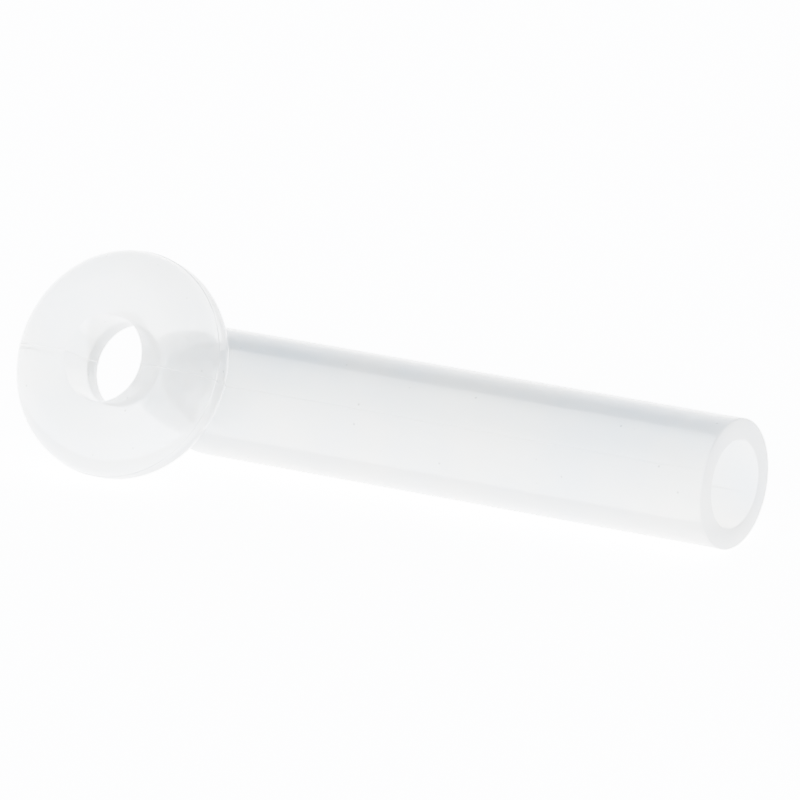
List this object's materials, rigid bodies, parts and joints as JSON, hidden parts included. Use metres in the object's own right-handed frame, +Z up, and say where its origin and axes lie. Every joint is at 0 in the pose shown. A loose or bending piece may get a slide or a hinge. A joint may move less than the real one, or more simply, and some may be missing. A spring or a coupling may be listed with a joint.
{
  "type": "saliva ejector tip",
  "caption": "Soft milky-clear silicone slip-on tip: a fat ring set across the closed end of a straight open tube.",
  "frame": {"origin": "centre of the tube's open mouth, on the bore's axis", "axes": "+X along the tube from the ring to the open mouth, +Z up with the tip lying on its tube and ring"},
  "size_m": [0.0534, 0.0153, 0.0148],
  "materials": {
    "silicone": "smooth, glossy, milky-clear silicone with a fine mould parting line"
  },
  "bodies": {
    "root": {"ring_head": "silicone", "tube_end": "silicone", "tube_barrel": "silicone"}
  },
  "joints": []
}
